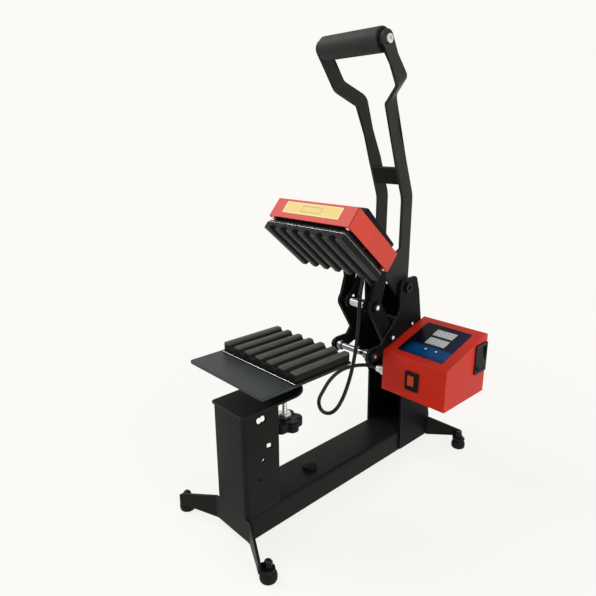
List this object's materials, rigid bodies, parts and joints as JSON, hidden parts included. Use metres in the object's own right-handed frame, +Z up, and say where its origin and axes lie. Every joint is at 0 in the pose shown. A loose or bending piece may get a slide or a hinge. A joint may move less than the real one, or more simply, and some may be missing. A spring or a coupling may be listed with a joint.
{
  "type": "pen heat press",
  "caption": "Benchtop pen heat press with a long toggle handle, a tilting heated head over grooved silicone pads, a screw-lifted lower plate, a folded steel base and a control box.",
  "frame": {"origin": "on the floor, under the middle of the press measured without its free lead, in the open pose", "axes": "+Z up, +X to the side that carries the control box, +Y from the pads towards the upright and handle"},
  "size_m": [0.2096, 0.3808, 0.536],
  "materials": {
    "aluminium_bare": "milled",
    "black_steel": "satin powder coat",
    "board_green": "circuit board",
    "chromed": "polished",
    "key_white": "gloss",
    "label_yellow": "bare film",
    "lead_black": "smooth sheath",
    "membrane_navy": "gloss film",
    "plastic_black": "fine grain",
    "red_steel": "satin powder coat",
    "rubber_black": "matt",
    "silicone_dark": "matt",
    "window_pale": "unlit display",
    "wool_white": "mineral wool",
    "zinc_steel": "bright zinc"
  },
  "bodies": {
    "base": {"base_channel": "black_steel", "front_leg_bracket": "black_steel", "rear_leg_bracket": "black_steel", "foot_pads": "rubber_black", "foot_studs": "zinc_steel", "foot_nuts": "black_steel", "channel_stop": "rubber_black", "tower": "black_steel", "tower_roof": "black_steel", "stem_guide": "black_steel", "left_upright_plate": "black_steel", "right_upright_plate": "black_steel", "upright_back_web": "black_steel", "tie_rod": "chromed", "tie_rod_nuts": "zinc_steel", "upright_spacer": "zinc_steel", "handle_pivot_bolts": "black_steel", "head_pivot_bolts": "zinc_steel", "control_case": "red_steel", "control_base_plate": "black_steel", "control_board": "board_green", "display_membrane": "membrane_navy", "display_windows": "window_pale", "rocker_bezel": "plastic_black", "power_inlet": "plastic_black", "box_gland": "zinc_steel", "heater_lead": "lead_black"},
    "plate": {"lower_plate": "black_steel", "plate_stem": "black_steel", "pad_carrier": "aluminium_bare", "lower_pen_pad": "silicone_dark"},
    "knob": {"pressure_screw": "black_steel", "pressure_knob": "plastic_black", "screw_collars": "black_steel"},
    "head": {"left_head_arm": "black_steel", "right_head_arm": "black_steel", "cross_shaft": "chromed", "cross_shaft_screws": "zinc_steel", "head_tray": "black_steel", "heater_cover": "red_steel", "cover_screws": "zinc_steel", "insulation": "wool_white", "heater_block": "aluminium_bare", "heating_element": "zinc_steel", "heater_studs": "zinc_steel", "pad_plate": "aluminium_bare", "upper_pen_pad": "silicone_dark", "label_plate": "label_yellow", "head_gland": "plastic_black"},
    "handle": {"left_handle_arm": "black_steel", "right_handle_arm": "black_steel", "handle_crossbar": "black_steel", "grip_core": "black_steel", "grip_sleeve": "rubber_black", "grip_screws": "zinc_steel", "link_pins": "zinc_steel"},
    "link": {"toggle_links": "black_steel"},
    "rocker": {"power_rocker": "plastic_black"},
    "set_button": {"set_key": "key_white"},
    "adjust_button": {"adjust_key": "key_white"}
  },
  "joints": [
    {"name": "handle_swing", "type": "hinge", "parent": "base", "child": "handle", "pos_m": [-0.02018, 0.097, 0.2433], "axis": [1, 0, 0], "range_deg": [0, 72]},
    {"name": "head_swing", "type": "hinge", "parent": "base", "child": "head", "pos_m": [-0.02018, 0.067, 0.1843], "axis": [1, 0, 0], "range_deg": [0, 41], "deforming": ["heater_lead"]},
    {"name": "link_swing", "type": "hinge", "parent": "handle", "child": "link", "pos_m": [-0.02018, 0.0679, 0.2707], "axis": [1, 0, 0], "range_deg": [-99.4, 0]},
    {"name": "plate_lift", "type": "slide", "parent": "base", "child": "plate", "axis": [0, 0, 1], "range_m": [-0.0075, 0.003]},
    {"name": "knob_turn", "type": "hinge", "parent": "base", "child": "knob", "pos_m": [-0.02018, -0.0865, 0.112], "axis": [0, 0, 1], "range_deg": [-1080, 2700]},
    {"name": "rocker_tilt", "type": "hinge", "parent": "base", "child": "rocker", "pos_m": [0.09612, 0.127, 0.166], "axis": [0, 1, 0], "range_deg": [0, 18]},
    {"name": "set_press", "type": "slide", "parent": "base", "child": "set_button", "axis": [0, -0.28, 0.96], "range_m": [-0.0005, 0], "stiffness_N_per_m": 300},
    {"name": "adjust_press", "type": "slide", "parent": "base", "child": "adjust_button", "axis": [0, -0.28, 0.96], "range_m": [-0.0005, 0], "stiffness_N_per_m": 300}
  ],
  "couplings": [
    {"joint": "head_swing", "follows": "handle_swing", "ratio": 0.56944},
    {"joint": "link_swing", "follows": "handle_swing", "ratio": -1.3806},
    {"joint": "knob_turn", "follows": "plate_lift", "rad_per_m": -6283.2}
  ]
}
